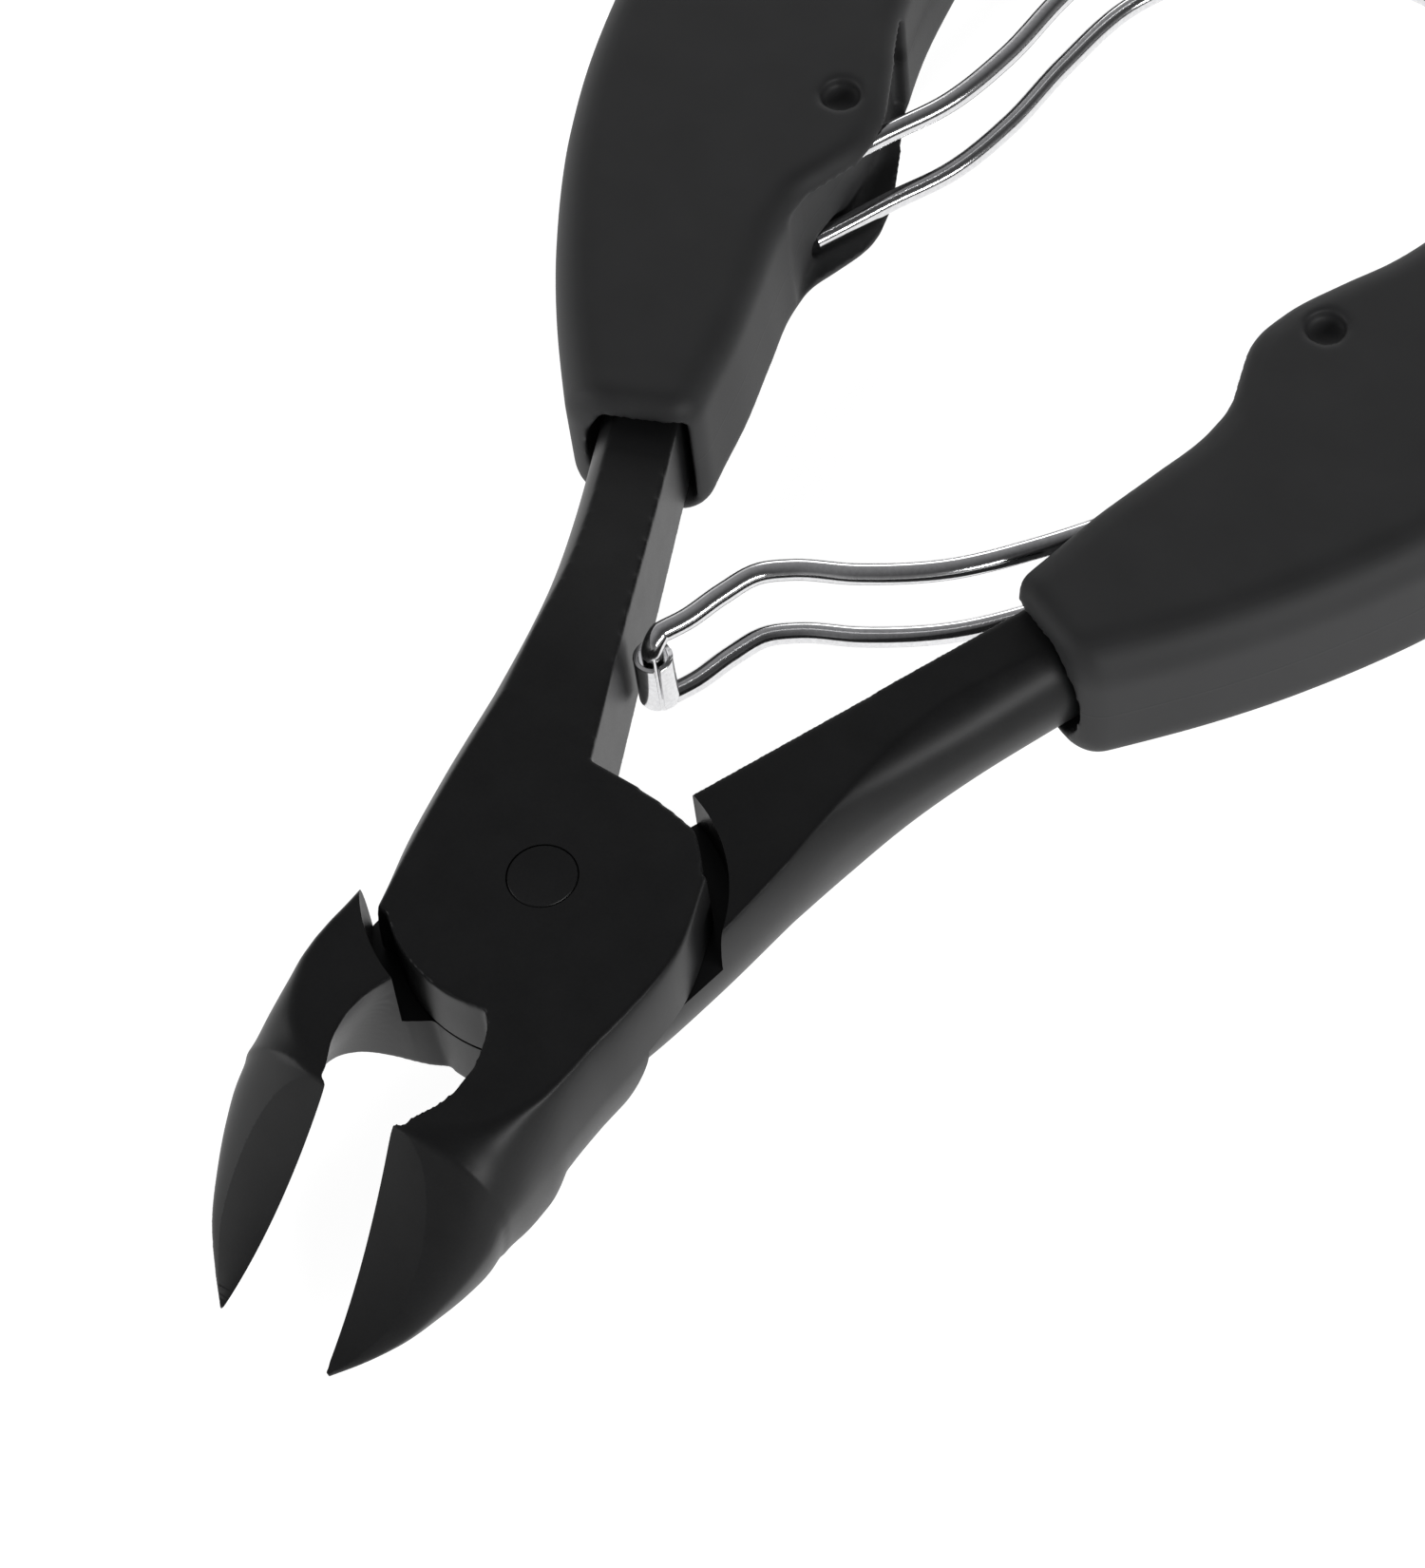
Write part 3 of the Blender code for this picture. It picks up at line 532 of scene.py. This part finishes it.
def gray_ramp(signal, stops):
    """Colours by a mask, from (place, (r, g, b)) stops."""
    stops = [(place, (*color, 1.0)) for place, color in stops]
    return signal.node("ValToRGB", {"stops": stops}, {"Fac": signal}, "Color")


black_steel, shader, place = start_finish("blackened_steel")
grain = noise(place, 6.0, 4.0, 0.65)
cloud = noise(place, 0.35, 3.0)
speck = noise(place, 22.0, 1.0)
tone = grain * 0.55 + cloud * 0.45
STEEL_DARK, STEEL_PALE = (0.0080, 0.0081, 0.0084), (0.0120, 0.0121, 0.0125)
feed(shader, "Base Color", gray_ramp(tone, [(0.3, STEEL_DARK), (0.7, STEEL_PALE)]))
feed(shader, "Roughness", 0.30 + grain * 0.10 + cloud * 0.06)
relief = grain * 0.6 + speck * 0.4
bump = place.node("Bump", {}, {"Strength": 0.10, "Distance": 0.02 * MM, "Height": relief})
feed(shader, "Normal", bump)
shader.inputs["IOR"].default_value = STEEL_COAT_IOR

for side, mirror, level, body in (("left", -1, -1, "left_half"), ("right", 1, 1, "right_half")):
    lever = forge_lever(f"{side}_forging", mirror, level)
    finish_piece(lever, black_steel)
    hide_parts(f"{side}_lever")
    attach(lever, body)

# ---------------------------------------------------------------- rivet
# A turned steel pin, headed flush on both faces of the joint and blackened with it. Only its
# fine edge ring shows in the milled front.

RIVET_DISH = 0.05 * MM

bm = bmesh.new()
profile = [
    (0.0, HEAD_HALF - RIVET_DISH),
    (RIVET_HEAD_RADIUS * 0.7, HEAD_HALF - RIVET_DISH),
    (RIVET_HEAD_RADIUS - 0.12 * MM, HEAD_HALF),
    (RIVET_HEAD_RADIUS, HEAD_HALF - 0.12 * MM),
]
profile += [(radius, -height) for radius, height in reversed(profile)]
line = [bm.verts.new((radius, 0, height)) for radius, height in profile]
edges = [bm.edges.new(pair) for pair in zip(line, line[1:])]
bmesh.ops.spin(
    bm, geom=line + edges, cent=(0, 0, 0), axis=(0, 0, 1), angle=math.tau, steps=96, use_merge=True
)
bmesh.ops.transform(bm, matrix=MIDDLE, verts=bm.verts)
rivet = add_piece("flush_rivet", bm)
finish_piece(rivet, black_steel)
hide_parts("pivot_rivet")
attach(rivet, "left_half")

# ---------------------------------------------------------------- spring wire
# One 1.6 mm polished spring wire bent double: a foot whose crossbar runs on the left shank, and
# two strands that pass up the right grip, over and down to hooks in the left grip.

WIRE_RADIUS = 0.8 * MM
STRAND_SPACING = 8.0 * MM
CROSSBAR_BEND = 1.2 * MM
ROLLER_RADIUS = 1.45 * MM
ROLLER_REACH = 9.7 * MM
ROLLER_GAP = 0.3 * MM
HOOK_DEPTH = 2.6 * MM
HOOK_DIRECTION = Vector((-0.42, -0.91, 0.0)).normalized()
CHANNEL_GAP = 0.7 * MM
SLOT_MARGIN = 0.3 * MM
ARM_SWING = math.radians(12.6)
ARM_ROUTE = (
    (-4.9, 23.5),
    (-3.9, 26.8),
    (-2.7, 29.6),
    (-0.9, 31.1),
    (3.2, 33.2),
    (8.7, 37.1),
    (12.9, 41.8),
    (17.1, 47.7),
    (18.8, 50.7),
)
BOW_ROUTE = (
    (19.0, 51.1),
    (20.5, 54.4),
    (22.3, 59.8),
    (23.8, 67.0),
    (24.4, 75.0),
    (24.6, 84.0),
    (23.6, 93.0),
    (18.9, 101.3),
    (10.9, 106.1),
    (1.6, 106.3),
    (-6.9, 102.0),
    (-12.1, 94.2),
    (-13.4, 86.0),
    (-13.8, 79.0),
    (-15.1, 72.8),
    (-17.6, 67.6),
    (-19.2, 64.0),
)


def smooth_route(points, spacing):
    points = np.array(points, float)
    runs = np.linalg.norm(np.diff(points, axis=0), axis=1)
    lengths = np.concatenate([[0.0], np.cumsum(runs)])
    count = max(2, round(lengths[-1] / spacing) + 1)
    return [
        tuple(smooth_at(lengths, points[:, axis], at) for axis in range(points.shape[1]))
        for at in np.linspace(0.0, lengths[-1], count)
    ]


def draw_wire(name, route, radius, facets=5):
    data = bpy.data.curves.new(name, "CURVE")
    data.dimensions = "3D"
    data.bevel_depth = radius
    data.bevel_resolution = facets
    data.use_fill_caps = True
    spline = data.splines.new("POLY")
    spline.points.add(len(route) - 1)
    for point, at in zip(spline.points, route):
        point.co = (*at, 1.0)
    guide = bpy.data.objects.new(name, data)
    bpy.context.scene.collection.objects.link(guide)
    graph = bpy.context.evaluated_depsgraph_get()
    mesh = bpy.data.meshes.new_from_object(guide.evaluated_get(graph))
    bpy.data.objects.remove(guide, do_unlink=True)
    bm = bmesh.new()
    bm.from_mesh(mesh)
    return add_piece(name, bm)


def roller_centre():
    off = ROLLER_RADIUS + ROLLER_GAP
    x = SHANK_START[0] + ROLLER_REACH * math.sin(SHANK_LEAN) - off * math.cos(SHANK_LEAN)
    y = SHANK_START[1] + ROLLER_REACH * math.cos(SHANK_LEAN) + off * math.sin(SHANK_LEAN)
    return -x, y


def foot_route():
    half = STRAND_SPACING / 2
    x, y = roller_centre()
    strand = smooth_route([(x, y + CROSSBAR_BEND), *[(px * MM, py * MM) for px, py in ARM_ROUTE]], 0.5 * MM)
    bend = []
    for step in range(11):
        angle = math.pi / 2 * step / 10
        rise, turn = CROSSBAR_BEND * (1 - math.sin(angle)), CROSSBAR_BEND * (1 - math.cos(angle))
        bend.append((x, y + rise, half - turn))
    front = [(px, py, half) for px, py in reversed(strand[1:])] + bend
    return front + [(px, py, -pz) for px, py, pz in reversed(front)]


def strand_route(side, spacing=0.7 * MM):
    route = smooth_route([(x * MM, y * MM) for x, y in BOW_ROUTE], spacing)
    points = [Vector((x, y, side * STRAND_SPACING / 2)) for x, y in route]
    points.append(points[-1] + HOOK_DIRECTION * HOOK_DEPTH)
    return [tuple(point) for point in points]


bright_wire, shader, place = start_finish("polished_wire")
draw = noise(place, 3.0, 4.0, 0.6)
fine = noise(place, 14.0, 2.0)
WIRE_GRAY, WIRE_BRIGHT = (0.70, 0.70, 0.71), (0.82, 0.82, 0.83)
feed(shader, "Base Color", gray_ramp(draw, [(0.3, WIRE_GRAY), (0.7, WIRE_BRIGHT)]))
feed(shader, "Roughness", 0.10 + draw * 0.06 + fine * 0.04)
bump = place.node("Bump", {}, {"Strength": 0.05, "Distance": 0.01 * MM, "Height": fine})
feed(shader, "Normal", bump)
shader.inputs["Metallic"].default_value = 1.0

foot = draw_wire("spring_foot_wire", foot_route(), WIRE_RADIUS)
foot.data.transform(MIDDLE)
finish_piece(foot, bright_wire, 60)
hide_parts("spring_arm")
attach(foot, "spring_foot")

for side, level in (("front", 1), ("back", -1)):
    strand = draw_wire(f"{side}_strand", strand_route(level), WIRE_RADIUS)
    strand.data.transform(MIDDLE)
    finish_piece(strand, bright_wire, 60)
    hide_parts(f"spring_bow_{side}")
    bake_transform(strand)

# ---------------------------------------------------------------- roller
# A strip of polished sheet steel rolled round the crossbar, with its seam left open. It turns
# freely on the wire and runs on the left shank.

ROLLER_WALL = 0.40 * MM
ROLLER_HALF = 2.5 * MM
SEAM = math.radians(14)

bm = bmesh.new()
corners = [
    (ROLLER_RADIUS - ROLLER_WALL, -ROLLER_HALF),
    (ROLLER_RADIUS, -ROLLER_HALF),
    (ROLLER_RADIUS, ROLLER_HALF),
    (ROLLER_RADIUS - ROLLER_WALL, ROLLER_HALF),
]
strip = bm.faces.new([bm.verts.new((x, 0, z)) for x, z in corners])
bmesh.ops.spin(
    bm,
    geom=[strip, *strip.edges, *strip.verts],
    cent=(0, 0, 0),
    axis=(0, 0, 1),
    angle=math.tau - SEAM,
    steps=72,
)
bmesh.ops.rotate(bm, verts=bm.verts, cent=(0, 0, 0), matrix=Matrix.Rotation(math.radians(-35), 3, "Z"))
bmesh.ops.translate(bm, verts=bm.verts, vec=(*roller_centre(), 0))
bmesh.ops.transform(bm, matrix=MIDDLE, verts=bm.verts)
sleeve = add_piece("rolled_sleeve", bm)
edge_break = sleeve.modifiers.new("edge_break", "BEVEL")
edge_break.width = 0.06 * MM
edge_break.segments = 2
edge_break.limit_method = "ANGLE"
finish_piece(sleeve, bright_wire, 40)
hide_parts("spring_roller")
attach(sleeve, "roller")


# ---------------------------------------------------------------- grips
# Soft-touch thermoplastic moulded over each lever's tang, thick at the finger stop, with a
# recessed mouth round the shank, a small pin mark in front and a slot for the spring.

GRIP_HALF = 6.75 * MM
GRIP_LENGTH = 94.0 * MM
NOSE_REACH = 3.4 * MM
INNER_ROUNDING = 2.4 * MM
OUTER_ROUNDING = 3.4 * MM
NOSE_ROUNDING = 1.8 * MM
END_ROUNDING = 4.0 * MM
MOUTH_RECESS = 0.75 * MM
GRIP_GRAIN = 0.30 * MM
GRIP_PASSES = 4
GRIP_IOR = 1.35
PIN_MARK_RADIUS = 1.5 * MM
PIN_MARK_DEPTH = 1.0 * MM
PARTING_HALF = 0.16
GRIP_NEAR = 42.0
GRIP_SPINE = (
    (0.0, 0.0),
    (5.6, 12.0),
    (10.8, 26.0),
    (14.6, 41.0),
    (17.2, 56.0),
    (18.4, 71.0),
    (18.6, 86.6),
)
GRIP_SIDES = (
    (-3.4, 4.7, 5.0),
    (0.0, 5.4, 6.0),
    (4.5, 6.5, 7.2),
    (10.3, 7.4, 8.5),
    (16.0, 8.2, 9.6),
    (19.0, 9.3, 10.1),
    (21.0, 10.8, 10.4),
    (23.6, 12.5, 10.7),
    (27.7, 13.1, 11.1),
    (33.2, 12.3, 11.4),
    (37.3, 11.3, 11.5),
    (42.0, 10.7, 11.5),
    (52.0, 10.3, 11.3),
    (66.0, 9.9, 10.8),
    (78.0, 9.2, 10.0),
    (86.5, 7.6, 8.3),
)


def mouth_centre():
    y = SHANK_START[1] + SHANK_RISE
    return shank_inner(y) + 3.6 * MM, y


def grip_reach(distance):
    stretch = (GRIP_LENGTH - NOSE_REACH - GRIP_NEAR * MM) / ((GRIP_SIDES[-1][0] - GRIP_NEAR) * MM)
    near = min(distance, GRIP_NEAR)
    return (near + (distance - near) * stretch) * MM


def spine_frame(reach):
    points = np.array([(x * MM, grip_reach(y)) for x, y in GRIP_SPINE])
    runs = np.linalg.norm(np.diff(points, axis=0), axis=1)
    places = np.concatenate([[0.0], np.cumsum(runs)])
    near, far = (
        Vector([smooth_at(places, points[:, axis], at) for axis in range(2)])
        for at in (reach - 0.5 * MM, reach + 0.5 * MM)
    )
    return (near + far) / 2, (far - near).normalized()


def corner_arc(x, z, radius, start, steps):
    turns = [start - math.pi / 2 * step / steps for step in range(steps + 1)]
    return [(x + radius * math.cos(turn), z + radius * math.sin(turn)) for turn in turns]


def grip_section(reach, inner, outer, inset, mirror):
    """A rectangle with rounded corners, square to the grip's spine."""
    (x0, y0), along = spine_frame(reach)
    half, inner, outer = GRIP_HALF - inset, inner - inset, outer - inset
    tight, wide = max(INNER_ROUNDING - inset, 0.5 * MM), max(OUTER_ROUNDING - inset, 1.0 * MM)
    points = corner_arc(-inner + tight, half - tight, tight, math.pi, 10)
    points += corner_arc(outer - wide, half - wide, wide, math.pi / 2, 12)
    points += corner_arc(outer - wide, wide - half, wide, 0.0, 12)
    points += corner_arc(-inner + tight, tight - half, tight, -math.pi / 2, 10)
    x0, y0 = x0 + mouth_centre()[0], y0 + mouth_centre()[1]
    return [(mirror * (x0 + along.y * off), y0 - along.x * off, z) for off, z in points]


def rounded_end(radius):
    turns = [math.pi / 2 * step / 8 for step in range(9)]
    return [(radius * (1 - math.cos(turn)), radius * (1 - math.sin(turn))) for turn in turns]


def grip_sections(mirror):
    places, inners, outers = np.array(GRIP_SIDES).T
    places = np.array([grip_reach(at) for at in places])
    first, last = -NOSE_REACH, GRIP_LENGTH - NOSE_REACH
    stations = [(first + run, inset) for run, inset in rounded_end(NOSE_ROUNDING)]
    stations += [(at, 0.0) for at in np.linspace(first + NOSE_ROUNDING, last - END_ROUNDING, 120)[1:-1]]
    stations += [(last - run, inset) for run, inset in reversed(rounded_end(END_ROUNDING))]
    sections = []
    for at, inset in stations:
        inner, outer = (smooth_at(places, side, at) * MM for side in (inners, outers))
        sections.append(grip_section(at, inner, outer, inset, mirror))
    return sections


soft_grip, shader, place = start_finish("soft_touch_grip")
stipple = noise(place, 9.0, 3.0, 0.6)
patch = noise(place, 0.22, 3.0)
tone = stipple * 0.35 + patch * 0.65
GRIP_DARK, GRIP_PALE = (0.0190, 0.0192, 0.0198), (0.0255, 0.0257, 0.0265)
feed(shader, "Base Color", gray_ramp(tone, [(0.3, GRIP_DARK), (0.7, GRIP_PALE)]))
feed(shader, "Roughness", 0.50 + stipple * 0.12 + patch * 0.06)
upright = place.node("SeparateXYZ", {}, {0: place}, "Z") - MIDDLE.translation.z / MM
parting = upright.math("ABSOLUTE", upright)
spread = {"Value": parting, "From Min": 0.0, "From Max": PARTING_HALF, "To Min": 1.0, "To Max": 0.0}
flash = place.node("MapRange", {}, spread)
relief = stipple * 0.35 + flash * 0.65
bump = place.node("Bump", {}, {"Strength": 0.35, "Distance": 0.04 * MM, "Height": relief})
feed(shader, "Normal", bump)
shader.inputs["IOR"].default_value = GRIP_IOR

# The slots and holes for the wire are cut before the grips' edges are rounded.
def right_slot():
    """Follows the wire up the grip, with room for the foot's swing below its bearing."""
    bearing, turn = Vector(ARM_ROUTE[-1]), Matrix.Rotation(ARM_SWING, 2)
    floor = [tuple(bearing + turn @ (Vector(at) - bearing)) for at in ARM_ROUTE[4:]]
    depth = WIRE_RADIUS + CHANNEL_GAP
    outline = [(x * MM + depth, y * MM) for x, y in smooth_route([*floor, *BOW_ROUTE[1:7]], 1.5)]
    outline += [(0.0, outline[-1][1]), (0.0, outline[0][1])]
    half = STRAND_SPACING / 2 + WIRE_RADIUS + SLOT_MARGIN
    return prism("right_slot", outline, -half, half)


LEFT_CHANNEL = ((-8.0, 6.0), (-5.0, 11.0), (-1.8, 16.0), (0.3, 21.0), (0.6, 26.0), (1.8, 32.0), (4.2, 38.6))


def left_slot():
    x0, y0 = mouth_centre()
    outline = smooth_route([(-(x0 + x * MM), y0 + y * MM) for x, y in LEFT_CHANNEL], 1.0 * MM)
    outline += [(0.0, outline[-1][1] + 4.0 * MM), (0.0, outline[0][1])]
    half = STRAND_SPACING / 2 + WIRE_RADIUS + SLOT_MARGIN
    return prism("left_slot", outline, -half, half)


def hook_hole(level):
    route = strand_route(level, 2.2 * MM)
    end = Vector(route[-1]) + HOOK_DIRECTION * 0.8 * MM
    hole = draw_wire(f"hook_hole_{level}", [route[-3], route[-2], tuple(end)], WIRE_RADIUS + 0.4 * MM)
    return hole


def pin_mark(mirror):
    x0, y0 = mouth_centre()
    mark = drum("pin_mark", PIN_MARK_RADIUS, GRIP_HALF - PIN_MARK_DEPTH, GRIP_HALF + 2 * MM, 48)
    mark.data.transform(Matrix.Translation((mirror * (x0 + 2.0 * MM), y0 + 29.2 * MM, 0)))
    return mark


for side, mirror, level, body in (("left", -1, -1, "left_half"), ("right", 1, 1, "right_half")):
    grip = loft(f"{side}_moulding", grip_sections(mirror))
    pocket = loft("pocket", shank_sections(mirror, level, 0.6, MOUTH_RECESS, 1.06))
    cuts = [pocket, pin_mark(mirror)]
    cuts += [right_slot()] if side == "right" else [left_slot(), hook_hole(1), hook_hole(-1)]
    combine(grip, "DIFFERENCE", *cuts)
    settle(grip, *cuts)
    soften(grip, GRIP_GRAIN, GRIP_PASSES)
    grip.data.transform(MIDDLE)
    finish_piece(grip, soft_grip, 60)
    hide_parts(f"{side}_grip")
    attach(grip, body)

# ---------------------------------------------------------------- table and room
# A plain table top that glows, which keeps shadows off the background, and the room's own glow.
# The tool's lowest points, the tips, are 1 mm above the table.

bm = bmesh.new()
bmesh.ops.create_grid(bm, x_segments=1, y_segments=1, size=TABLE_HALF)
bmesh.ops.translate(bm, verts=bm.verts, vec=(0, 0, cad_box[0].z - TABLE_DROP))
table = add_piece("table", bm)
table_top, shader, place = start_finish("table_white")
shader.inputs["Base Color"].default_value = TABLE_BASE
shader.inputs["Roughness"].default_value = 0.9
shader.inputs["Emission Color"].default_value = (1, 1, 1, 1)
shader.inputs["Emission Strength"].default_value = TABLE_GLOW
table.data.materials.append(table_top)

sky = Signal(room.node_tree)
direction = sky.node("TexCoord", {}, {}, "Generated")
height = sky.node("SeparateXYZ", {}, {0: direction}, "Z")
across = sky.node("SeparateXYZ", {}, {0: direction}, "X")
side_stops = {"stops": [(0.30, ROOM_LEFT), (0.75, ROOM_RIGHT)]}
side_glow = sky.node("ValToRGB", side_stops, {"Fac": across * 0.5 + 0.5}, "Color")
height_stops = {"stops": [(0.05, ROOM_HORIZON), (0.60, ROOM_ZENITH)]}
glow = sky.node("ValToRGB", height_stops, {"Fac": height}, "Color")
both = sky.node("VectorMath", {"operation": "MULTIPLY"}, {0: glow, 1: side_glow})
background = room.node_tree.nodes["Background"]
room.node_tree.links.new(both.socket, background.inputs["Color"])
background.inputs["Strength"].default_value = ROOM_STRENGTH
